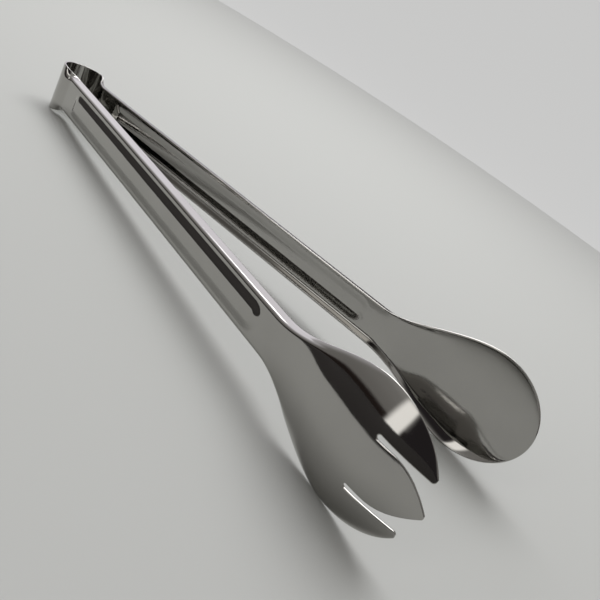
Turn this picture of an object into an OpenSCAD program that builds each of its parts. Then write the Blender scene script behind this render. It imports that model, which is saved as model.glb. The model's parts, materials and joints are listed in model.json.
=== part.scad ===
// Serving tongs: a fork and a spoon on the two ends of one bent, pressed steel strip.
// The strip is divided where it flexes (bow to arm) and where its form changes (arm to head).
//
// Every piece is built about the centre plane of the strip, with the bow's back at x = 0,
// the heads towards +X, the spoon on +Y and the fork on -Y. on_table() then lays the tongs
// on their side: z = 0 is the table, and the origin is under the middle of their length.
// The bow is a plain flat strip. The strip's edges fold inwards as it leaves the bow, until
// they are the flanges of an arm, and open out again into the rim of a head.

/* [Strip] */
// Thickness of the sheet
sheet_t = 0.8; // [0.6:0.1:1.2]
// Width of the flat strip, as it shows round the bow
strip_w = 21; // [19.5:0.5:26]

/* [Bow] */
// Outer radius of the bow
bow_r = 10; // [8.5:0.5:13]
// How far each end of the bow turns in past parallel, in degrees
pinch_angle = 18; // [8:1:24]
// Radius at which the strip turns back out into an arm
shoulder_r = 5; // [3.5:0.5:8]
// Length over which the strip's edges fold into flanges
fold_run = 10; // [8:0.5:14]

/* [Arms] */
// Angle of each arm from the centre plane, tongs open
arm_angle = 8; // [5:0.5:11]
// Length of each straight arm, from the bow's shoulder to the neck of its head
arm_len = 168; // [120:1:220]
// Height of an arm over its flanges' outer faces
web_h = 15; // [13:0.5:18]
// Depth of the flanges that stiffen an arm
flange_d = 4; // [3:0.25:5.5]
// How far each flange leans outwards over its depth
flange_lean = 0.4; // [0:0.1:0.8]
// Outer radius of the bend between web and flange
bend_r = 1.4; // [1.1:0.1:2]

/* [Rib] */
// Width of the rib pressed out along each arm, foot to foot
rib_w = 10.4; // [8:0.2:11]
// Width of the rib's flat crown
rib_crown_w = 4.4; // [2:0.2:6]
// Height of the rib over the web
rib_h = 0.65; // [0.4:0.05:1.2]
// Distance from the start of the straight arm to the rib
rib_start_gap = 9; // [7:1:30]
// Distance from the rib to the neck of the head
rib_end_gap = 5; // [3:1:30]

/* [Heads] */
// Width of each head at its widest
head_w = 42; // [34:1:52]
// Length over which a head widens from its neck
flare_len = 45; // [36:1:60]
// Length from the widest place to the tip of the spoon
bowl_len = 24; // [20:1:32]
// How far the bowl stands out past the arm's outer face
bowl_out = 5; // [3:0.5:8]
// How far the rim lies inside the line of the arm's outer face
rim_in = 0.3; // [0:0.1:1]
// How much further in the tip of the rim curves
tip_in = 1; // [0:0.1:2]

/* [Fork] */
// How much longer than the spoon the middle tine is
fork_extra = 2.5; // [0:0.5:5]
// Width of the slots between the tines
slot_w = 1.5; // [1:0.1:2.5]
// Distance from the centre line to the middle of each slot
slot_offset = 8.7; // [7.5:0.1:10]
// Length of the parallel part of each slot
slot_len = 5; // [3:0.5:8]
// Distance from the widest place to the closed end of each slot
slot_root = 5.7; // [2:0.1:8]
// How far a side tine's inner edge leans towards the middle by its tip
tine_lean = 0.9; // [0:0.1:2]

/* [Hidden] */
$fn = 96;

seam_gap = 0.1;            // clear of each other, so that an arm can turn
fold_into_arm = 2;         // how much of the fold lies on the straight arm
rim_run = 22;              // length over which a flange opens out into the rim
section_run = 30;          // length over which the channel section becomes a bowl section
bowl_wrap = 72;            // half angle of the bowl's cross-section arc
bowl_fullness = 1.3;       // how slowly the bowl's depth falls away to its tip
tine_fullness = 2;        // above 1, the middle tine's edges bow outwards
fork_len = bowl_len + fork_extra;
mid = sheet_t / 2;
bow_mid_r = bow_r - mid;

// Turning points of the strip's middle surface, seen from above, on the +Y side.
function outward(heading) = [-sin(heading), cos(heading)];
bow_end = [bow_r, 0] + bow_mid_r * outward(-pinch_angle);
shoulder_centre = bow_end + shoulder_r * outward(-pinch_angle);
arm_start = shoulder_centre - shoulder_r * outward(arm_angle);

// The strip's middle line: s is the distance along it from the start of the straight arm.
shoulder_run = shoulder_r * (pinch_angle + arm_angle) * PI / 180;
fold_from = fold_into_arm - fold_run;
function heading_at(s) =
    s >= 0 ? arm_angle
    : s > -shoulder_run ? arm_angle + s / shoulder_r * 180 / PI
    : -pinch_angle - (s + shoulder_run) / bow_mid_r * 180 / PI;
function line_at(s) =
    let (left = outward(heading_at(s)))
    s >= 0 ? arm_start + s * [cos(arm_angle), sin(arm_angle)]
    : s > -shoulder_run ? shoulder_centre - shoulder_r * left
    : [bow_r, 0] + bow_mid_r * left;

// How the tongs lie: on the bow's lower edge and on the lower rims of both heads.
neck = arm_len;
widest = arm_len + flare_len;
widest_x = line_at(widest).x;
rest_tilt = atan((head_w - strip_w) / 2 / widest_x);
rest_height = strip_w / 2 * cos(rest_tilt);
fork_tip_x = line_at(widest + fork_len).x + (rim_in + tip_in + mid) * sin(arm_angle);
back_x = -strip_w / 2 * sin(rest_tilt);
middle_x = (fork_tip_x * cos(rest_tilt) + back_x) / 2;

// ---- the formed sheet of an arm and its head ----
// s runs along the strip's middle line, and v across the strip from -1 to 1.

function ease(t) = let (u = max(0, min(1, t))) u * u * (3 - 2 * u);
function past_widest(s, tip_len) = max(0, min(1, (s - widest) / tip_len));

// Half the width over the rim, and how far the rim and the middle of the web stand out.
function rim_half(s, tip_len) =
    let (arm_half = web_h / 2 + flange_lean)
    s < widest
    ? arm_half + (head_w / 2 - arm_half) * ease((s - neck) / flare_len)
    : head_w / 2 * sqrt(max(0, 1 - pow(past_widest(s, tip_len), 2)));
function rim_out(s, tip_len) =
    -flange_d + (flange_d - rim_in) * ease((s - neck) / rim_run)
    - tip_in * pow(past_widest(s, tip_len), 2);
function middle_out(s, tip_len) =
    let (fall = pow(max(0, 1 - pow(past_widest(s, tip_len), 2)), bowl_fullness),
         rise = bowl_out * ease((s - neck) / flare_len))
    s < widest ? rise : rim_out(s, tip_len) + (bowl_out + rim_in) * fall;

// Channel section: web, bend and leaning flange, as [across, out].
web_part = 0.62;
bend_part = 0.8;
lean = atan(flange_lean / flange_d);
function channel(v, half, rim, middle) =
    let (a = abs(v),
         side = v < 0 ? -1 : 1,
         corner = half - flange_lean - bend_r,
         turn = (90 - lean) * (a - web_part) / (bend_part - web_part),
         bend_end = [corner + bend_r * cos(lean), middle - bend_r * (1 - sin(lean))],
         along = (a - bend_part) / (1 - bend_part))
    a <= web_part ? [side * corner * a / web_part, middle]
    : a <= bend_part
    ? [side * (corner + bend_r * sin(turn)), middle - bend_r * (1 - cos(turn))]
    : [side * (bend_end[0] + (half - bend_end[0]) * along),
       bend_end[1] + (rim - bend_end[1]) * along];

// Flat section, before the edges are folded: the same lengths of sheet, laid out straight.
web_run = web_h / 2 - bend_r;
bend_run = bend_r * (90 - lean) * PI / 180;
flange_run = (flange_d - bend_r * (1 - sin(lean))) / cos(lean);
function flat(v) =
    let (a = abs(v),
         side = v < 0 ? -1 : 1,
         run = web_run * min(1, a / web_part)
             + bend_run * max(0, min(1, (a - web_part) / (bend_part - web_part)))
             + flange_run * max(0, (a - bend_part) / (1 - bend_part)))
    [side * run * strip_w / 2 / (web_run + bend_run + flange_run), 0];

// Bowl section: an arc that is widened to the rim, as [across, out].
function bowl(v, half, rim, middle) =
    [half * sin(bowl_wrap * v) / sin(bowl_wrap),
     rim + (middle - rim) * (cos(bowl_wrap * v) - cos(bowl_wrap)) / (1 - cos(bowl_wrap))];

// The rib is a low ridge with nearly straight sides, a squarish start and a round end at the
// neck: its height falls off with distance from its spine.
rib_first = rib_start_gap + rib_w / 2;
rib_last = neck - rib_end_gap - rib_w / 2;
rib_start_power = 4;
side_rounding = 0.3;       // 0 gives the rib straight sides, 1 gives them a full S-curve
function rib_fall(t) =
    (1 - side_rounding) * max(0, min(1, t)) + side_rounding * ease(t);
function rib_out(s, across) =
    let (beyond = max(0, rib_first - s, s - rib_last),
         power = s < rib_first ? rib_start_power : 2,
         from_spine = pow(pow(abs(across), power) + pow(beyond, power), 1 / power))
    rib_h * (1 - rib_fall((from_spine - rib_crown_w / 2) / (rib_w / 2 - rib_crown_w / 2)));

// A point of the outer face, and the unit vector straight out of it.
function face_point(s, v, tip_len) =
    let (half = rim_half(s, tip_len),
         rim = rim_out(s, tip_len),
         middle = middle_out(s, tip_len),
         folded = ease((s - fold_from) / fold_run),
         bowled = ease((s - neck) / section_run),
         arm_section = (1 - folded) * flat(v) + folded * channel(v, half, rim, middle),
         p = (1 - bowled) * arm_section + bowled * bowl(v, half, rim, middle),
         place = line_at(s) + (p[1] + rib_out(s, p[0]) + mid) * outward(heading_at(s)))
    [place.x, place.y, p[0]];
function face_normal(s, v, tip_len) =
    let (ds = 0.02,
         dv = 0.004,
         along = face_point(s + ds, v, tip_len) - face_point(s - ds, v, tip_len),
         across = face_point(s, v + dv, tip_len) - face_point(s, v - dv, tip_len),
         n = cross(across, along))
    n / norm(n);

// A sheet through all the stations: outer face, inner face, both edges and both ends.
module formed_sheet(stations, steps, tip_len) {
    rows = len(stations);
    cols = len(steps);
    outer = [for (s = stations, v = steps) face_point(s, v, tip_len)];
    inner = [for (s = stations, v = steps)
        face_point(s, v, tip_len) - sheet_t * face_normal(s, v, tip_len)];
    function at(row, col, skin) = skin * rows * cols + row * cols + col;
    function quad(a, b, c, d) = [[a, c, b], [a, d, c]];
    faces = [
        for (r = [0 : rows - 2], c = [0 : cols - 2]) each concat(
            quad(at(r, c, 0), at(r, c + 1, 0), at(r + 1, c + 1, 0), at(r + 1, c, 0)),
            quad(at(r, c, 1), at(r + 1, c, 1), at(r + 1, c + 1, 1), at(r, c + 1, 1))),
        for (r = [0 : rows - 2]) each concat(
            quad(at(r, 0, 0), at(r + 1, 0, 0), at(r + 1, 0, 1), at(r, 0, 1)),
            quad(at(r, cols - 1, 0), at(r, cols - 1, 1), at(r + 1, cols - 1, 1), at(r + 1, cols - 1, 0))),
        for (c = [0 : cols - 2]) each concat(
            quad(at(0, c, 0), at(0, c, 1), at(0, c + 1, 1), at(0, c + 1, 0)),
            quad(at(rows - 1, c, 0), at(rows - 1, c + 1, 0), at(rows - 1, c + 1, 1), at(rows - 1, c, 1)))
    ];
    polyhedron(points = concat(outer, inner), faces = faces, convexity = 8);
}

// Places across the strip: even over the web, round the bends and along the flanges.
web_steps = 10;
bend_steps = 4;
half_steps = concat(
    [for (i = [1 : web_steps]) web_part * i / web_steps],
    [for (i = [1 : bend_steps]) web_part + (bend_part - web_part) * i / bend_steps],
    [(bend_part + 1) / 2, 1]);
across_steps = concat([for (i = [len(half_steps) - 1 : -1 : 0]) -half_steps[i]], [0], half_steps);

// Places along an arm: close together over the fold and round the rib's ends, far apart
// between them.
fold_steps = 14;
rib_end_steps = 8;
arm_stations = concat(
    [for (i = [0 : fold_steps]) fold_from + seam_gap + (fold_run - seam_gap) * i / fold_steps],
    [for (i = [0 : rib_end_steps]) rib_start_gap + rib_w / 2 * i / rib_end_steps],
    [for (i = [0 : rib_end_steps]) rib_last + rib_w / 2 * i / rib_end_steps],
    [neck]);

// Places along a head: even up to the widest place, then closing in on the tip.
flare_steps = 18;
tip_steps = 14;
tip_stop = 88;             // degrees of the quarter turn to the tip, where the sheet is cut off
function head_stations(tip_len) = concat(
    [for (i = [0 : flare_steps]) neck + flare_len * i / flare_steps],
    [for (i = [1 : tip_steps]) widest + tip_len * sin(tip_stop * i / tip_steps)]);

// ---- placing ----

module on_table() {
    translate([-middle_x, 0, rest_height])
        rotate([0, -rest_tilt, 0])
            children();
}

// The fork's side is the mirror image of the spoon's.
module fork_side() {
    mirror([0, 1, 0]) children();
}

// ---- the bow ----

far = 4 * bow_r;

// The bow is the part of a flat ring between the two places where the folds begin.
module bow_outline() {
    clip_steps = 8;
    end = 90 + heading_at(fold_from);
    difference() {
        circle(bow_r);
        circle(bow_r - sheet_t);
        polygon([
            [0, 0],
            for (i = [0 : clip_steps])
                let (heading = end * (2 * i / clip_steps - 1))
                far * [cos(heading), sin(heading)]
        ]);
    }
}

module spring_bow() {
    color("silver")
        on_table()
            translate([bow_r, 0, 0])
                linear_extrude(strip_w, center = true) bow_outline();
}

// ---- arms ----

module arm() {
    formed_sheet(arm_stations, across_steps, bowl_len);
}

module fork_arm() {
    color("silver") on_table() fork_side() arm();
}

module spoon_arm() {
    color("silver") on_table() arm();
}

// ---- heads ----

// The clear space on one side of the middle tine: a slot that opens out round its point.
module tine_gap() {
    root = widest + slot_root + slot_w / 2;
    mouth = root + slot_len;
    tip = widest + fork_len;
    outer_edge = slot_offset + slot_w / 2;
    inner_edge = slot_offset - slot_w / 2;
    steps = 10;
    translate([root, slot_offset]) circle(slot_w / 2);
    polygon([
        [root, inner_edge],
        for (i = [0 : steps])
            let (t = i / steps)
            [mouth + (tip - mouth) * t, inner_edge * (1 - pow(t, tine_fullness))],
        [tip + far, 0],
        [tip + far, outer_edge - tine_lean],
        [tip, outer_edge - tine_lean],
        [root, outer_edge]
    ]);
}

module fork_head() {
    color("silver")
        on_table() fork_side()
            difference() {
                formed_sheet(head_stations(fork_len), across_steps, fork_len);
                translate([arm_start.x, arm_start.y, 0])
                    rotate([90, 0, arm_angle])
                        for (up = [0, 1]) mirror([0, up, 0])
                            linear_extrude(far, center = true) tine_gap();
            }
}

module spoon_head() {
    color("silver") on_table() formed_sheet(head_stations(bowl_len), across_steps, bowl_len);
}

spring_bow();
fork_arm();
fork_head();
spoon_arm();
spoon_head();
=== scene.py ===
"""Looks of the serving tongs: one bent, pressed steel strip with a fork and a spoon on its ends."""
import json
import math

import bpy
import numpy as np
from mathutils import Matrix, Vector


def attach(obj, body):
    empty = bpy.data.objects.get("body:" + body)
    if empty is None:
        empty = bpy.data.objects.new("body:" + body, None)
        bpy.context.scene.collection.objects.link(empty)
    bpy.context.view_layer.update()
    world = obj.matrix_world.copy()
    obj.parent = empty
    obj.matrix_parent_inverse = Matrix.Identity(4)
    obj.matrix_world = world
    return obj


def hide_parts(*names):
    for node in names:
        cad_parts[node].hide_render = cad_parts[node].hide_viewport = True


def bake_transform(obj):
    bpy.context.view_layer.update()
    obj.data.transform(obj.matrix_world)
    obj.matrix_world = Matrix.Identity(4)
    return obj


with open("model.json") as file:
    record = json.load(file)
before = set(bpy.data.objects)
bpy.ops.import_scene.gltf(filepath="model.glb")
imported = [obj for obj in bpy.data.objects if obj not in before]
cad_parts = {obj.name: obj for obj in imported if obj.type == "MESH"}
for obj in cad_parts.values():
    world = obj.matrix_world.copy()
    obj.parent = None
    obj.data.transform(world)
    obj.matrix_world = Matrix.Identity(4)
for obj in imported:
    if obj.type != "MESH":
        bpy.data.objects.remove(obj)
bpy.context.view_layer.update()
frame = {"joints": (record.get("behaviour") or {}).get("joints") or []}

# ---- sizes, in millimetres and degrees ----

MM = 0.001
SHEET_T = 0.8            # thickness of the sheet
STRIP_W = 21.0           # width of the flat strip round the bow
BOW_R = 10.0             # outer radius of the bow
PINCH_ANGLE = 18.0       # how far each end of the bow turns in past parallel
SHOULDER_R = 5.0         # radius at which the strip turns back out into an arm
FOLD_RUN = 10.0          # length over which the strip's edges fold into flanges
FOLD_INTO_ARM = 2.0      # how much of the fold lies on the straight arm
ARM_ANGLE = 8.0          # angle of each arm from the centre plane
ARM_LEN = 168.0          # straight arm, from the bow's shoulder to the neck of a head
WEB_H = 15.0             # height of an arm over its bends
FLANGE_D = 4.0           # how far a flange reaches in from the web
FLANGE_LEAN = 0.4        # how far a flange leans out over its depth
BEND_R = 1.4             # of the bend between web and flange
RIB_W = 10.4
RIB_CROWN_W = 4.4        # the flat top of the rib
RIB_H = 0.65
RIB_START_GAP = 9.0      # from the start of the straight arm to the rib
RIB_END_GAP = 5.0        # from the rib to the neck
RIB_START_POWER = 4.0    # above 2 for a squarish start
SIDE_ROUNDING = 0.3      # 0 for straight sides of the rib, 1 for a full S-curve
HEAD_W = 42.0            # at the widest place
FLARE_LEN = 45.0         # over which a head widens from its neck
BOWL_LEN = 24.0          # from the widest place to the spoon's tip
FORK_LEN = 26.5          # from the widest place to the middle tine's tip
BOWL_OUT = 5.0           # how far a bowl's middle stands out of the arm's plane
RIM_IN = 0.3             # how far its rim lies inside that plane
TIP_IN = 1.0             # how much further in its tip lies
SLOT_W = 1.5
SLOT_OFFSET = 8.7        # from the middle of the fork to the middle of a slot
SLOT_LEN = 5.0           # from a slot's root to where the middle tine begins to narrow
SLOT_ROOT = 5.7          # from the widest place to the closed end of a slot
TINE_LEAN = 0.9          # how far the side tines' inner edges lean in by the tip
RIM_RUN = 22.0           # over which a flange opens out into the rim
SECTION_RUN = 30.0       # over which the channel section becomes a bowl section
SIDE_TINE_SHARE = 0.98   # of FORK_LEN, past the side tines' tips
BOWL_WRAP = math.radians(72)     # half of the arc that a bowl's section is stretched from
BOWL_FULLNESS = 1.3      # above 1, a bowl falls away sooner towards its tip
TINE_FULLNESS = 2.0      # above 1, the middle tine's edges bow outwards
WEB_PART = 0.62          # shares of half the strip that are web, and web with bend
BEND_PART = 0.8

EDGE_REACH = 0.3         # how far the rounding of a cut edge reaches into the sheet
EDGE_STEPS = 6           # facets round a cut edge
EDGE_SQUARE = 0.55       # exponent of the edge's round, below 1 for a squarer edge
MITRE_LIMIT = 0.6        # keeps the rounding from running far out at a sharp corner
SIDE_TIP_R = 1.0         # radius of the side tines' tips
MIDDLE_TIP_R = 1.2
WELD = 0.002             # points closer than this are one
TOUCHING = 1e-6          # a distance that counts as none

ARC_STEPS = 8            # facets round the tip of a tine, and round half of a slot's root
SPOON_END_STEPS = 96     # facets round the spoon's rim past its widest place
SLOPE_STEP = 0.01        # for slopes of the tines' edges
STEP_S = 0.005           # steps for the sheet's normals, along and across
STEP_V = 0.002
SHORT_OF_TIP = 0.02      # normals and rounds stop this much short of a tip, where slopes run wild
NO_LENGTH = 1e-12        # keeps a vector of no length from being divided by 0
HALVINGS = 50            # to find where a tine's tip round starts

# The pitch of the rows of points along the strip.
BOW_PITCH = 0.4
FOLD_PITCH = 0.25
FIRST_PITCH = 1.5        # between the fold and the rib
RIB_END_PITCH = 0.35
RIB_PITCH = 4.0
LAST_PITCH = 0.8         # between the rib and the neck
HEAD_PITCH = 0.6
SLOT_PITCH = 0.5         # between the widest place and the slots

HALF_T = SHEET_T / 2
NECK = ARM_LEN
WIDEST = ARM_LEN + FLARE_LEN
WEB_EDGE = WEB_H / 2 - BEND_R
BOW_MID_R = BOW_R - HALF_T
BOW_ARC = BOW_MID_R * math.radians(90 + PINCH_ANGLE)
SHOULDER_ARC = SHOULDER_R * math.radians(PINCH_ANGLE + ARM_ANGLE)
BOW_LEN = BOW_ARC + SHOULDER_ARC
FOLD_FROM = FOLD_INTO_ARM - FOLD_RUN
LEAN = math.atan(FLANGE_LEAN / FLANGE_D)

# The seam between bow and arm, and how the tongs lie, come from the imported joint.
swing = next(j for j in frame["joints"] if j["name"] == "spoon_swing")
SEAM_ON_TABLE = np.array(swing["pos_m"]) / MM
REST_TILT = math.atan2(abs(swing["axis"][0]), abs(swing["axis"][2]))
ON_TABLE = np.array(
    [
        [math.cos(REST_TILT), 0, -math.sin(REST_TILT)],
        [0, 1, 0],
        [math.sin(REST_TILT), 0, math.cos(REST_TILT)],
    ]
)


def outward(heading):
    """Unit vector to the left of a heading, seen from above."""
    return np.array([-math.sin(math.radians(heading)), math.cos(math.radians(heading))])


BOW_END = np.array([BOW_R, 0]) + BOW_MID_R * outward(-PINCH_ANGLE)
SHOULDER_CENTRE = BOW_END + SHOULDER_R * outward(-PINCH_ANGLE)
ARM_START = SHOULDER_CENTRE - SHOULDER_R * outward(ARM_ANGLE)
ARM_HEADING = math.radians(ARM_ANGLE)


def line_at(s):
    """The strip's middle line and its left, s along it from the start of the straight arm."""
    on_bow = math.radians(-PINCH_ANGLE) - (s + SHOULDER_ARC) / BOW_MID_R
    on_shoulder = ARM_HEADING + s / SHOULDER_R
    heading = np.where(s >= 0, ARM_HEADING, np.where(s > -SHOULDER_ARC, on_shoulder, on_bow))
    left = np.stack([-np.sin(heading), np.cos(heading)], -1)
    s = np.asarray(s)[..., None]
    straight = ARM_START + s * np.array([math.cos(ARM_HEADING), math.sin(ARM_HEADING)])
    on_shoulder_arc = SHOULDER_CENTRE - SHOULDER_R * left
    on_bow_arc = [BOW_R, 0] + BOW_MID_R * left
    curved = np.where(s > -SHOULDER_ARC, on_shoulder_arc, on_bow_arc)
    return np.where(s >= 0, straight, curved), left


SEAM = line_at(np.array(FOLD_FROM))[0]       # where bow and arm meet

# ---- the formed sheet: s along the strip's middle line, v across the strip from -1 to 1 ----


def ease(t):
    """0 to 1 with a soft start and a soft end."""
    t = np.clip(t, 0, 1)
    return t * t * (3 - 2 * t)


def past_widest(s, tip_len):
    """0 up to a head's widest place, 1 at its tip."""
    return np.clip((s - WIDEST) / tip_len, 0, 1)


def rim_half(s, tip_len):
    """Half the height of the strip as formed."""
    arm_half = WEB_H / 2 + FLANGE_LEAN
    flare = arm_half + (HEAD_W / 2 - arm_half) * ease((s - NECK) / FLARE_LEN)
    oval = HEAD_W / 2 * np.sqrt(1 - past_widest(s, tip_len) ** 2)
    return np.where(s < WIDEST, flare, oval)


def rim_out(s, tip_len):
    """How far out the edges lie."""
    opened = -FLANGE_D + (FLANGE_D - RIM_IN) * ease((s - NECK) / RIM_RUN)
    return opened - TIP_IN * past_widest(s, tip_len) ** 2


def middle_out(s, tip_len):
    """How far out the middle lies."""
    fall = (1 - past_widest(s, tip_len) ** 2) ** BOWL_FULLNESS
    rise = BOWL_OUT * ease((s - NECK) / FLARE_LEN)
    return np.where(s < WIDEST, rise, rim_out(s, tip_len) + (BOWL_OUT + RIM_IN) * fall)


def channel(v, half, rim, middle):
    """Web, bend and leaning flange, as (across, out)."""
    a = np.abs(v)
    side = np.sign(v)
    corner = half - FLANGE_LEAN - BEND_R
    turn = (math.pi / 2 - LEAN) * np.clip((a - WEB_PART) / (BEND_PART - WEB_PART), 0, 1)
    end_across = corner + BEND_R * math.cos(LEAN)
    end_out = middle - BEND_R * (1 - math.sin(LEAN))
    along = (a - BEND_PART) / (1 - BEND_PART)
    across = np.where(
        a <= WEB_PART,
        corner * a / WEB_PART,
        np.where(
            a <= BEND_PART,
            corner + BEND_R * np.sin(turn),
            end_across + (half - end_across) * along,
        ),
    )
    out = np.where(
        a <= BEND_PART,
        middle - BEND_R * (1 - np.cos(turn)),
        end_out + (rim - end_out) * along,
    )
    return side * across, out


def flat(v):
    """The same lengths of sheet laid out straight, as a distance across."""
    a = np.abs(v)
    bend = BEND_R * (math.pi / 2 - LEAN)
    flange = (FLANGE_D - BEND_R * (1 - math.sin(LEAN))) / math.cos(LEAN)
    run = WEB_EDGE * np.minimum(1, a / WEB_PART)
    run = run + bend * np.clip((a - WEB_PART) / (BEND_PART - WEB_PART), 0, 1)
    run = run + flange * np.maximum(0, (a - BEND_PART) / (1 - BEND_PART))
    return np.sign(v) * run * STRIP_W / 2 / (WEB_EDGE + bend + flange)


def bowl(v, half, rim, middle):
    """An arc widened to the rim, as (across, out)."""
    arc = (np.cos(BOWL_WRAP * v) - math.cos(BOWL_WRAP)) / (1 - math.cos(BOWL_WRAP))
    across = half * np.sin(BOWL_WRAP * v) / math.sin(BOWL_WRAP)
    return across, rim + (middle - rim) * arc


def rib_fall(t):
    """How far down the rib's side is, from 0 at the crown to 1 at the foot."""
    return (1 - SIDE_ROUNDING) * np.clip(t, 0, 1) + SIDE_ROUNDING * ease(t)


def rib_out(s, across):
    """How far the rib lifts the web; its ends are rounded, the first one squarish."""
    first = RIB_START_GAP + RIB_W / 2
    last = NECK - RIB_END_GAP - RIB_W / 2
    beyond = np.maximum(0, np.maximum(first - s, s - last))
    power = np.where(s < first, RIB_START_POWER, 2.0)
    from_spine = (np.abs(across) ** power + beyond**power) ** (1 / power)
    down = (from_spine - RIB_CROWN_W / 2) / (RIB_W / 2 - RIB_CROWN_W / 2)
    return RIB_H * (1 - rib_fall(down))


def face_point(s, v, tip_len):
    """A point of the outer face in the tongs' own frame, on the spoon's side."""
    half = rim_half(s, tip_len)
    rim = rim_out(s, tip_len)
    middle = middle_out(s, tip_len)
    folded = ease((s - FOLD_FROM) / FOLD_RUN)
    bowled = ease((s - NECK) / SECTION_RUN)
    channel_across, channel_out = channel(v, half, rim, middle)
    bowl_across, bowl_out = bowl(v, half, rim, middle)
    across = (1 - folded) * flat(v) + folded * channel_across
    across = (1 - bowled) * across + bowled * bowl_across
    out = (1 - bowled) * folded * channel_out + bowled * bowl_out
    place, left = line_at(s)
    place = place + (out + rib_out(s, across) + HALF_T)[..., None] * left
    return np.concatenate([place, across[..., None]], -1)


def unit(vectors):
    length = np.linalg.norm(vectors, axis=-1, keepdims=True)
    return vectors / np.maximum(length, NO_LENGTH)


def sheet_point(s, v, tip_len):
    """Middle of the sheet and its outward normal, in the tongs' own frame."""
    s, v = np.broadcast_arrays(np.asarray(s, float), np.asarray(v, float))
    at = np.minimum(s, WIDEST + tip_len - SHORT_OF_TIP)
    along = face_point(at + STEP_S, v, tip_len) - face_point(at - STEP_S, v, tip_len)
    across = face_point(at, v + STEP_V, tip_len) - face_point(at, v - STEP_V, tip_len)
    normal = unit(np.cross(across, along))
    return face_point(s, v, tip_len) - HALF_T * normal, normal


# ---- columns across the strip and rows along it ----

RIM_SCALE = 12.8                             # about how many mm go to one unit of v near the rim
WEB_IN = WEB_PART * (1 - EDGE_REACH / WEB_EDGE)
RIM_V = 1 - EDGE_REACH / RIM_SCALE           # across-strip place where the rim's rounding begins
SLOT_START = WIDEST + SLOT_ROOT - EDGE_REACH


def v_at(s, across, tip_len):
    """The across-strip place of a point of the bowl section."""
    half = np.maximum(rim_half(s, tip_len), TOUCHING)
    share = np.clip(across / half * math.sin(BOWL_WRAP), -1, 1)
    return np.arcsin(share) / BOWL_WRAP


SLOT_V = float(v_at(np.array(SLOT_START), np.array(SLOT_OFFSET), FORK_LEN))
MIDDLE_COLUMNS = 14          # from the middle to a slot
WEB_COLUMNS = 12             # from a slot to the bend
BEND_COLUMNS = 8
FLANGE_COLUMNS = 5
half_columns = np.concatenate(
    [
        np.linspace(0, SLOT_V, MIDDLE_COLUMNS + 1),
        np.linspace(SLOT_V, WEB_IN, WEB_COLUMNS + 1)[1:],
        np.linspace(WEB_PART, BEND_PART, BEND_COLUMNS + 1),
        np.linspace(BEND_PART, RIM_V, FLANGE_COLUMNS + 1)[1:],
    ]
)


def mirrored(values):
    """The same places on both sides of 0, which comes first."""
    return np.concatenate([-values[:0:-1], values])


def spread(first, last, pitch):
    """Stations from first to last, both included, no more than pitch apart."""
    gaps = max(1, math.ceil(abs(last - first) / pitch))
    return np.linspace(first, last, gaps + 1)


def on_grid(rows, columns, tip_len):
    """Every column at every row, as (points, normals)."""
    return sheet_point(rows[:, None], columns[None, :], tip_len)


def bow_patches():
    yield on_grid(spread(-BOW_LEN, FOLD_FROM, BOW_PITCH), mirrored(half_columns), BOWL_LEN)


def arm_patches():
    rib_end = RIB_W / 2
    rib_first = RIB_START_GAP
    rib_last = NECK - RIB_END_GAP
    rows = np.concatenate(
        [
            spread(FOLD_FROM, FOLD_INTO_ARM, FOLD_PITCH),
            spread(FOLD_INTO_ARM, rib_first, FIRST_PITCH)[1:],
            spread(rib_first, rib_first + rib_end, RIB_END_PITCH)[1:],
            spread(rib_first + rib_end, rib_last - rib_end, RIB_PITCH)[1:],
            spread(rib_last - rib_end, rib_last, RIB_END_PITCH)[1:],
            spread(rib_last, NECK, LAST_PITCH)[1:],
        ]
    )
    yield on_grid(rows, mirrored(half_columns), BOWL_LEN)


def spoon_patches():
    yield on_grid(spread(NECK, WIDEST, HEAD_PITCH), mirrored(half_columns), BOWL_LEN)
    # past the widest place the points lie on nested half ovals
    ring = np.sin(BOWL_WRAP * half_columns) / math.sin(BOWL_WRAP)
    angle = np.linspace(-math.pi / 2, math.pi / 2, SPOON_END_STEPS + 1)[:, None]
    s = WIDEST + BOWL_LEN * ring * np.cos(angle)
    across = HEAD_W / 2 * ring * np.sin(angle)
    yield sheet_point(s, v_at(s, across, BOWL_LEN), BOWL_LEN)


def slope_of(curve, s):
    return (curve(s + SLOPE_STEP) - curve(s - SLOPE_STEP)) / (2 * SLOPE_STEP)


def tip_round(outer, radius, start, stop, inner=None):
    """The round at a tine's tip: its centre, and the station where it leaves the outer edge.
    outer and inner give an edge's place across at a station. Without inner, the tine is
    symmetric and its round is centred on the middle line."""
    def below_outer(s):
        slope = slope_of(outer, s)
        along = np.array([1, slope]) / math.hypot(1, slope)
        return np.array([s, outer(s)]) - radius * np.array([-along[1], along[0]])

    low = start
    high = stop
    for _ in range(HALVINGS):
        s = (low + high) / 2
        centre = below_outer(s)
        if inner is None:
            past = centre[1] < 0
        else:
            room = (centre[1] - inner(centre[0])) / math.hypot(1, slope_of(inner, centre[0]))
            past = room < radius
        if past:
            high = s
        else:
            low = s
    return below_outer(low), low


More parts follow.
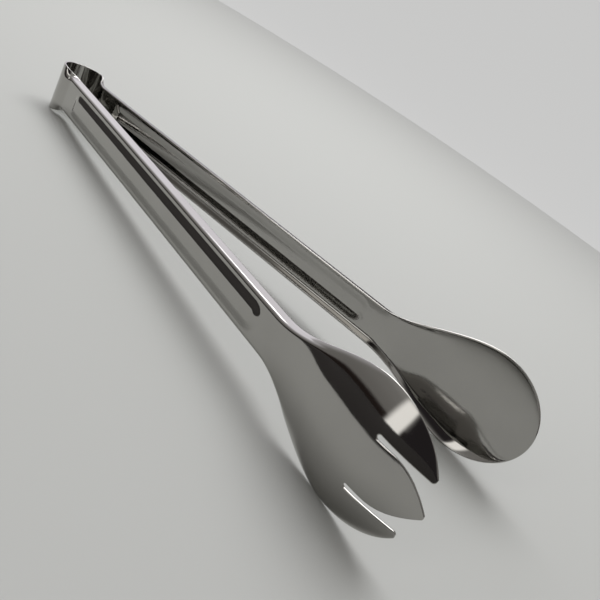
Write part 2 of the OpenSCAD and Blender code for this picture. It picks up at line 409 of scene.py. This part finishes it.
def fork_patches():
    columns = mirrored(half_columns)
    to_widest = spread(NECK, WIDEST, HEAD_PITCH)
    to_slots = spread(WIDEST, SLOT_START, SLOT_PITCH)
    rows = np.concatenate([to_widest, to_slots[1:]])
    yield on_grid(rows, columns, FORK_LEN)

    root = WIDEST + SLOT_ROOT + SLOT_W / 2
    mouth = root + SLOT_LEN
    tip = WIDEST + FORK_LEN
    past_side_tips = WIDEST + SIDE_TINE_SHARE * FORK_LEN
    root_r = SLOT_W / 2 + EDGE_REACH
    first_z = np.abs(sheet_point(SLOT_START, half_columns, FORK_LEN)[0][:, 2])

    def root_bulge(s):
        """Half the width of a slot, with its edges' rounding, in the round of its root."""
        return math.sqrt(max(0.0, root_r**2 - min(0.0, s - root) ** 2))

    # the true cut edges, each as a place across for a station
    def middle_true(s):
        t = min(1.0, max(0.0, (s - mouth) / (tip - mouth)))
        return (SLOT_OFFSET - SLOT_W / 2) * (1 - t**TINE_FULLNESS)

    def side_true(s):
        return SLOT_OFFSET + SLOT_W / 2 - TINE_LEAN * max(0.0, s - root) / (tip - root)

    def rim_true(s):
        return float(rim_half(np.array(s), FORK_LEN))

    def rows_to(centre, radius):
        """Rows from the start of the slots' roots to the end of a tip."""
        turn = np.linspace(0, math.pi / 2, ARC_STEPS + 1)
        near_root = root - root_r * np.cos(turn)
        along_tine = spread(root, centre[0], HEAD_PITCH)
        to_tip = centre[0] + radius * np.sin(turn)
        return np.concatenate([near_root, along_tine[1:], to_tip[1:]])

    def tine(rows, low, high, share, side):
        """Rows between low(s) and high(s), with share of the way across at each column."""
        low_z = np.array([low(s) for s in rows])[:, None]
        high_z = np.array([high(s) for s in rows])[:, None]
        across = side * (low_z + (high_z - low_z) * share[None, :])
        s = rows[:, None] + 0 * across
        return sheet_point(s, v_at(s, across, FORK_LEN), FORK_LEN)

    # the middle tine, its edges set in by the reach of their rounding
    radius = MIDDLE_TIP_R - EDGE_REACH
    centre, leave = tip_round(middle_true, MIDDLE_TIP_R, mouth, tip - SHORT_OF_TIP)
    rows = rows_to(centre, radius)

    def middle_edge(s):
        if s < root:
            return SLOT_OFFSET - root_bulge(s)
        if s <= leave:
            return middle_true(s) - EDGE_REACH * math.hypot(1, slope_of(middle_true, s))
        return math.sqrt(max(0.0, radius**2 - (s - centre[0]) ** 2))

    share = mirrored(first_z[: MIDDLE_COLUMNS + 1] / first_z[MIDDLE_COLUMNS])
    yield tine(rows, lambda s: 0.0, middle_edge, share, 1)

    # the side tines, set in the same way
    radius = SIDE_TIP_R - EDGE_REACH
    centre, leave = tip_round(rim_true, SIDE_TIP_R, root, past_side_tips, side_true)
    rows = rows_to(centre, radius)
    rim_share = math.sin(BOWL_WRAP * RIM_V) / math.sin(BOWL_WRAP)

    def round_half(s):
        return math.sqrt(max(0.0, radius**2 - (s - centre[0]) ** 2))

    def inner_edge(s):
        if s < root:
            return SLOT_OFFSET + root_bulge(s)
        line = side_true(s) + EDGE_REACH
        return line if s < centre[0] else max(line, centre[1] - round_half(s))

    def outer_edge(s):
        rim = rim_true(s) * rim_share
        return rim if s < leave else min(rim, centre[1] + round_half(s))

    # columns keep their share of the way from slot to rim
    side_z = first_z[MIDDLE_COLUMNS:]
    share = (side_z - side_z[0]) / (side_z[-1] - side_z[0])
    for side in (1, -1):
        yield tine(rows, inner_edge, outer_edge, share, side)


# ---- from patches to a closed sheet ----


class Sheet:
    """Patches of quads on the middle of the sheet, welded where their points meet."""

    def __init__(self):
        self.points = []
        self.normals = []
        self.quads = []
        self.pieces = []         # the piece that each quad belongs to
        self.known = {}          # from a point on the welding grid to its index

    def vertex(self, point, normal):
        """Index of a point, old or new; an old one's normal takes up the new one."""
        key = tuple(np.round(point / WELD).astype(int))
        if key not in self.known:
            self.known[key] = len(self.points)
            self.points.append(point)
            self.normals.append(np.array(normal))
        else:
            self.normals[self.known[key]] = self.normals[self.known[key]] + normal
        return self.known[key]

    def add(self, piece, patch):
        points, normals = patch
        index = [[self.vertex(p, n) for p, n in zip(*row)] for row in zip(points, normals)]
        for near, far in zip(index, index[1:]):
            for i in range(len(near) - 1):
                corners = [near[i], near[i + 1], far[i + 1], far[i]]
                distinct = [c for k, c in enumerate(corners) if c != corners[k - 1]]
                if len(distinct) > 2:
                    self.quads.append(distinct)
                    self.pieces.append(piece)


def boundary_edges(quads):
    """Directed edges that only one quad has, as a dict from (start, end) to that quad's index."""
    owner = {}
    for q, corners in enumerate(quads):
        for a, b in zip(corners, corners[1:] + corners[:1]):
            owner[(a, b)] = q
    return {(a, b): q for (a, b), q in owner.items() if (b, a) not in owner}


def thicken(sheet, joins):
    """Vertices, normals, faces and piece of each face for a sheet of metal with rounded cut edges.
    joins says which boundary vertices lie where this side meets the other one."""
    mid = np.array(sheet.points)
    normal = unit(np.array(sheet.normals))
    # patches run in different orders, so quads that face inwards are turned over
    quads = []
    for corners in sheet.quads:
        a, b, c = (mid[corner] for corner in corners[:3])
        if len(corners) > 3:
            face_normal = np.cross(c - a, mid[corners[3]] - b)
        else:
            face_normal = np.cross(b - a, c - a)
        facing = np.dot(face_normal, normal[corners[0]] + normal[corners[2]])
        quads.append(list(corners) if facing > 0 else list(corners[::-1]))
    boundary = boundary_edges(quads)
    outside = {}             # from a vertex of a cut edge to the ways off the sheet beside it
    for (a, b) in boundary:
        if joins[a] and joins[b]:
            continue
        away = unit(np.cross(mid[b] - mid[a], normal[a] + normal[b]))
        for v in (a, b):
            outside.setdefault(v, []).append(away)
    rim_points = []
    rim_normals = []
    rim_index = {}           # from a vertex to its row of points round the cut edge
    count = len(mid)
    angles = np.linspace(0, math.pi, EDGE_STEPS + 1)[1:-1]
    for v in sorted(outside):
        away = unit(np.sum(outside[v], 0))
        away = unit(away - np.dot(away, normal[v]) * normal[v])
        if joins[v]:
            away = unit(away * np.array([1, 0, 1]))
        mitre = 1 / max(MITRE_LIMIT, float(np.dot(away, outside[v][0])))
        start = 2 * count + len(rim_points)
        rim_index[v] = [v] + [start + k for k in range(len(angles))] + [count + v]
        for angle in angles:
            up = math.cos(angle)
            side = math.sin(angle)
            rise = math.copysign(abs(up) ** EDGE_SQUARE, up)
            reach = EDGE_REACH * mitre * side**EDGE_SQUARE
            rim_points.append(mid[v] + HALF_T * rise * normal[v] + reach * away)
            lean_up = math.copysign(abs(up) ** (2 - EDGE_SQUARE), up) / HALF_T
            lean_side = side ** (2 - EDGE_SQUARE) / EDGE_REACH
            rim_normals.append(unit(lean_up * normal[v] + lean_side * away))
    points = np.concatenate([mid + HALF_T * normal, mid - HALF_T * normal, np.array(rim_points)])
    normals = np.concatenate([normal, -normal, np.array(rim_normals)])
    faces = []
    pieces = []
    for corners, piece in zip(quads, sheet.pieces):
        faces.append(list(corners))
        faces.append([c + count for c in corners[::-1]])
        pieces += [piece, piece]
    for (a, b), q in boundary.items():
        if joins[a] and joins[b]:
            continue
        for k in range(EDGE_STEPS):
            near = rim_index[a][k : k + 2]
            far = rim_index[b][k : k + 2]
            faces.append([far[0], near[0], near[1], far[1]])
            pieces.append(sheet.pieces[q])
    return points, normals, faces, pieces


def to_table(vectors, side, place=True):
    """From the tongs' own frame, spoon's side, to the row frame in metres; side -1 is the fork's."""
    mirrored_y = vectors * np.array([1, side, 1])
    turned = mirrored_y @ ON_TABLE.T
    if not place:
        return turned
    seam = np.array([SEAM[0], side * SEAM[1], 0]) @ ON_TABLE.T
    seam_on_table = SEAM_ON_TABLE * np.array([1, side, 1])
    return (turned - seam + seam_on_table) * MM


def build_side(side, head_patches):
    """The pieces of one side, as a dict from name to object."""
    name = "spoon" if side > 0 else "fork"
    sheet = Sheet()
    for piece, patches in (
        (f"{name}_bow_half", bow_patches()),
        (f"{name}_arm_shell", arm_patches()),
        (f"{name}_head_shell", head_patches),
    ):
        for patch in patches:
            sheet.add(piece, patch)
    joins = np.abs(np.array(sheet.points)[:, 1]) < TOUCHING
    points, normals, faces, owners = thicken(sheet, joins)
    points = to_table(points, side)
    normals = to_table(normals, side, place=False)
    made = {}
    for piece in sorted(set(owners)):
        own = [f if side > 0 else f[::-1] for f, o in zip(faces, owners) if o == piece]
        used = sorted({v for f in own for v in f})
        place = {v: k for k, v in enumerate(used)}
        corners = [[place[v] for v in f] for f in own]
        mesh = bpy.data.meshes.new(piece)
        mesh.from_pydata([Vector(points[v]) for v in used], [], corners)
        mesh.polygons.foreach_set("use_smooth", [True] * len(own))
        mesh.update()
        mesh.normals_split_custom_set_from_vertices([Vector(normals[v]) for v in used])
        made[piece] = bpy.data.objects.new(piece, mesh)
        bpy.context.scene.collection.objects.link(made[piece])
    return made


spoon = build_side(1, spoon_patches())
fork = build_side(-1, fork_patches())

# ---- materials ----

MIX_A = 6                                # the Mix node's sockets for colours
MIX_B = 7
MIX_RESULT = 2
STEEL_DULL = (0.36, 0.352, 0.335)
STEEL_BRIGHT = (0.44, 0.432, 0.41)
RUB_SCALE = (30, 900, 900)               # long along the strip, fine across it


def node(tree, kind, **inputs):
    """A new node with some of its inputs set, an underscore standing for a space."""
    made = tree.nodes.new(kind)
    for key, value in inputs.items():
        made.inputs[key.replace("_", " ")].default_value = value
    return made


def steel(name):
    """Polished stainless sheet: fine rubbed lines, faint smudges, soft unevenness of the pressing."""
    material = bpy.data.materials.new(name)
    material.use_nodes = True
    tree = material.node_tree
    shader = tree.nodes["Principled BSDF"]
    shader.inputs["Metallic"].default_value = 1.0
    where = tree.nodes.new("ShaderNodeTexCoord")

    smudge = node(tree, "ShaderNodeTexNoise", Scale=38.0, Detail=5.0, Roughness=0.55)
    tree.links.new(where.outputs["Object"], smudge.inputs["Vector"])
    tint = tree.nodes.new("ShaderNodeMix")
    tint.data_type = "RGBA"
    tint.inputs[MIX_A].default_value = (*STEEL_DULL, 1)
    tint.inputs[MIX_B].default_value = (*STEEL_BRIGHT, 1)
    tree.links.new(smudge.outputs["Fac"], tint.inputs["Factor"])
    tree.links.new(tint.outputs[MIX_RESULT], shader.inputs["Base Color"])

    rough = node(tree, "ShaderNodeMapRange", From_Min=0.3, From_Max=0.75, To_Min=0.03, To_Max=0.09)
    tree.links.new(smudge.outputs["Fac"], rough.inputs["Value"])
    tree.links.new(rough.outputs["Result"], shader.inputs["Roughness"])

    rubbed = tree.nodes.new("ShaderNodeMapping")
    rubbed.inputs["Scale"].default_value = RUB_SCALE
    tree.links.new(where.outputs["Object"], rubbed.inputs["Vector"])
    lines = node(tree, "ShaderNodeTexNoise", Scale=3.0, Detail=3.0, Roughness=0.6)
    tree.links.new(rubbed.outputs["Vector"], lines.inputs["Vector"])
    line_bump = node(tree, "ShaderNodeBump", Strength=0.02, Distance=0.0002)
    tree.links.new(lines.outputs["Fac"], line_bump.inputs["Height"])

    uneven = node(tree, "ShaderNodeTexNoise", Scale=45.0, Detail=1.5, Roughness=0.4)
    tree.links.new(where.outputs["Object"], uneven.inputs["Vector"])
    wave_bump = node(tree, "ShaderNodeBump", Strength=0.35, Distance=0.0004)
    tree.links.new(uneven.outputs["Fac"], wave_bump.inputs["Height"])
    tree.links.new(line_bump.outputs["Normal"], wave_bump.inputs["Normal"])
    tree.links.new(wave_bump.outputs["Normal"], shader.inputs["Normal"])
    return material


polished = steel("polished_steel")
for made in (*spoon.values(), *fork.values()):
    made.data.materials.append(polished)

# ---- what moves with what ----


def table_point(x, y):
    """A point of the tongs' own frame, half way up the strip, in the row frame."""
    side = 1 if y >= 0 else -1
    return Vector(to_table(np.array([x, abs(y), 0.0]), side))


for name, made, side in (("spoon", spoon, 1), ("fork", fork, -1)):
    half = made[f"{name}_bow_half"]
    table_point(SEAM[0], side * SEAM[1])
    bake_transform(half)
    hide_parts("spring_bow")
    for part in ("arm", "head"):
        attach(made[f"{name}_{part}_shell"], f"{name}_side")
        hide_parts(f"{name}_{part}")

# ---- floor, light and camera, in metres ----

FLOOR_R = 0.75
FLOOR_COLOR = (0.52, 0.53, 0.51)
MATT = 0.9
COVE_R = 0.5                             # the backdrop rises from the floor round this
COVE_STEPS = 12
BACKDROP_TOP = 1.6
BACKDROP_GLOW = (0.57, 0.57, 0.565)      # as bright as the floor in front of it
RING_STEPS = 96
# painted shade, seen only in the steel's reflections of the floor
PAINTED_SHADE_COLOR = (0.020, 0.016, 0.015)
DARK_LIFT = 0.0004                       # clear of the floor
CLIP_START = 0.01


def plain(name, color, roughness):
    material = bpy.data.materials.new(name)
    material.use_nodes = True
    shader = material.node_tree.nodes["Principled BSDF"]
    shader.inputs["Base Color"].default_value = (*color, 1)
    shader.inputs["Roughness"].default_value = roughness
    return material


def stage_mesh(name, points, faces, material):
    mesh = bpy.data.meshes.new(name)
    mesh.from_pydata(points, [], faces)
    mesh.polygons.foreach_set("use_smooth", [True] * len(faces))
    mesh.materials.append(material)
    made = bpy.data.objects.new(name, mesh)
    bpy.context.scene.collection.objects.link(made)
    return made


def ring_surface(profile):
    """Points and faces of a surface turned about Z, from (radius, height) pairs."""
    points = []
    faces = []
    for radius, height in profile:
        for k in range(RING_STEPS):
            turn = 2 * math.pi * k / RING_STEPS
            points.append((radius * math.cos(turn), radius * math.sin(turn), height))
    for row in range(len(profile) - 1):
        for k in range(RING_STEPS):
            a = row * RING_STEPS + k
            b = row * RING_STEPS + (k + 1) % RING_STEPS
            faces.append([a, b, b + RING_STEPS, a + RING_STEPS])
    return points, faces


def card(name, centre, width, height, radiance):
    """A soft white light that faces the middle of the table; radiance is how bright it looks."""
    light = bpy.data.lights.new(name, "AREA")
    light.shape = "RECTANGLE"
    light.size = width
    light.size_y = height
    light.energy = radiance * math.pi * width * height
    made = bpy.data.objects.new(name, light)
    bpy.context.scene.collection.objects.link(made)
    made.location = centre
    made.rotation_euler = (-Vector(centre)).to_track_quat("-Z", "Y").to_euler()
    made.visible_camera = False


pale = plain("pale_floor", FLOOR_COLOR, MATT)
stage_mesh("floor", *ring_surface([(0, 0), (FLOOR_R, 0)]), pale)
cove = [
    (FLOOR_R + COVE_R * math.sin(turn), COVE_R * (1 - math.cos(turn)))
    for turn in np.linspace(0, math.pi / 2, COVE_STEPS + 1)
]
glowing = plain("pale_backdrop", (0, 0, 0), 1.0)
glow = glowing.node_tree.nodes["Principled BSDF"].inputs
glow["Emission Color"].default_value = (*BACKDROP_GLOW, 1)
glow["Emission Strength"].default_value = 1.0
backdrop = stage_mesh("backdrop", *ring_surface(cove + [(FLOOR_R + COVE_R, BACKDROP_TOP)]), glowing)
backdrop.visible_glossy = False
backdrop.visible_diffuse = False
backdrop.visible_shadow = False

# A dark sheet over the camera's side of the floor, that only the polished steel sees: painted shade
# in the steel's reflections of the evenly pale floor.
FAR_AWAY = -1.2
DARK_EDGE = (
    (-1.2, -0.10),
    (-0.20, -0.055),
    (0.0, -0.085),
    (0.06, -0.125),
    (0.16, -0.150),
    (1.2, -0.35),
)
near_points = [(x, y, DARK_LIFT) for x, y in DARK_EDGE]
far_points = [(x, FAR_AWAY, DARK_LIFT) for x, _ in DARK_EDGE]
across = len(DARK_EDGE)
dark_faces = [[k, k + 1, k + 1 + across, k + across] for k in range(across - 1)]
# a matt sheet of painted shade, which the camera, the diffuse light and the shadows do not see
painted_shade_matt = plain("painted_shade_sheet", PAINTED_SHADE_COLOR, MATT)
dark = stage_mesh("painted_shade_sheet", near_points + far_points, dark_faces, painted_shade_matt)
dark.visible_camera = False
dark.visible_diffuse = False
dark.visible_shadow = False
dark.visible_transmission = False
dark.visible_volume_scatter = False

# Where the camera is, which way it looks and which way is right in its picture.
EYE = Vector((147.8, -191.4, 115.3)) * MM
AWAY = Vector((-0.44876, 0.79789, -0.40248))
RIGHT = Vector((0.62152, 0.60227, 0.50099))
LENS = 41.16
SENSOR = 36.0

camera = bpy.data.objects.new("camera", bpy.data.cameras.new("camera"))
camera.data.lens = LENS
camera.data.sensor_width = SENSOR
camera.data.clip_start = CLIP_START
back = -AWAY.normalized()
right = (RIGHT - RIGHT.dot(back) * back).normalized()
up = back.cross(right)
camera.matrix_world = Matrix.Translation(EYE) @ Matrix((right, up, back)).transposed().to_4x4()
bpy.context.scene.collection.objects.link(camera)
bpy.context.scene.camera = camera

# The room, as the light that comes from each way. In the pairs below, a place from 0 to 1 goes
# with a ray that turns from against a direction to along it.
BLACK = (0, 0, 0)
WHITE = (1, 1, 1)

# It is dim and brownish low down, lighter higher up, and bright behind the tongs.
WINDOW = Vector((-0.72, 0.42, 0.55))
ROOM_BY_HEIGHT = (
    (0.520, (0.026, 0.019, 0.017)),
    (0.560, (0.25, 0.24, 0.23)),
    (0.750, (0.30, 0.29, 0.28)),
    (0.930, (0.42, 0.41, 0.40)),
)
WINDOW_SHARE = ((0.80, BLACK), (0.945, (0.40, 0.40, 0.40)), (0.978, WHITE))
WINDOW_COLOR = (1.35, 1.31, 1.41)

# A tall soft-edged light beside the camera, and a dark doorway next to it.
TALL_TOWARDS = (-0.17, -0.98, 0.10)
TALL_ACROSS = (0.985, -0.17, 0.0)
TALL_BESIDE = ((0.38, BLACK), (0.43, WHITE), (0.50, WHITE), (0.53, BLACK))
DARK_BESIDE = ((0.515, BLACK), (0.55, WHITE), (0.74, WHITE), (0.80, BLACK))
TALL_AHEAD = ((0.72, BLACK), (0.90, WHITE))
TALL_COLOR = (1.7, 1.67, 1.63)
DOORWAY_COLOR = (0.030, 0.026, 0.028)

world = bpy.data.worlds.new("room")
bpy.context.scene.world = world
world.use_nodes = True
sky = world.node_tree
ray = sky.nodes.new("ShaderNodeTexCoord")


def ramp_of(stops, source):
    """Colours that change softly from stop to stop with a source between 0 and 1."""
    ramp = sky.nodes.new("ShaderNodeValToRGB")
    ramp.color_ramp.interpolation = "EASE"
    while len(ramp.color_ramp.elements) < len(stops):
        ramp.color_ramp.elements.new(0.5)
    for stop, (place, color) in zip(ramp.color_ramp.elements, stops):
        stop.position = place
        stop.color = (*color, 1)
    sky.links.new(source, ramp.inputs["Fac"])
    return ramp.outputs["Color"]


def along(direction):
    """0 to 1 as the ray turns from against a direction to along it."""
    towards = sky.nodes.new("ShaderNodeVectorMath")
    towards.operation = "DOT_PRODUCT"
    towards.inputs[1].default_value = Vector(direction).normalized()
    sky.links.new(ray.outputs["Generated"], towards.inputs[0])
    share = node(sky, "ShaderNodeMapRange", From_Min=-1.0, From_Max=1.0)
    sky.links.new(towards.outputs["Value"], share.inputs["Value"])
    return share.outputs["Result"]


def laid_over(under, share, color):
    """A colour laid over what is under it, by a share from 0 to 1."""
    mixed = sky.nodes.new("ShaderNodeMix")
    mixed.data_type = "RGBA"
    mixed.inputs[MIX_B].default_value = (*color, 1)
    sky.links.new(share, mixed.inputs["Factor"])
    sky.links.new(under, mixed.inputs[MIX_A])
    return mixed.outputs[MIX_RESULT]


def upright_patch(stops):
    """The share of a tall patch ahead, at a range of places across."""
    both = node(sky, "ShaderNodeMath")
    both.operation = "MULTIPLY"
    sky.links.new(ramp_of(stops, along(TALL_ACROSS)), both.inputs[0])
    sky.links.new(ramp_of(TALL_AHEAD, along(TALL_TOWARDS)), both.inputs[1])
    return both.outputs[0]


lit = ramp_of(ROOM_BY_HEIGHT, along((0, 0, 1)))
lit = laid_over(lit, ramp_of(WINDOW_SHARE, along(WINDOW)), WINDOW_COLOR)
lit = laid_over(lit, upright_patch(TALL_BESIDE), TALL_COLOR)
lit = laid_over(lit, upright_patch(DARK_BESIDE), DOORWAY_COLOR)
sky.links.new(lit, sky.nodes["Background"].inputs["Color"])

card("overhead", centre=(-0.25, 0.30, 0.75), width=0.7, height=0.5, radiance=4.2)

bpy.context.scene.view_settings.view_transform = "Standard"
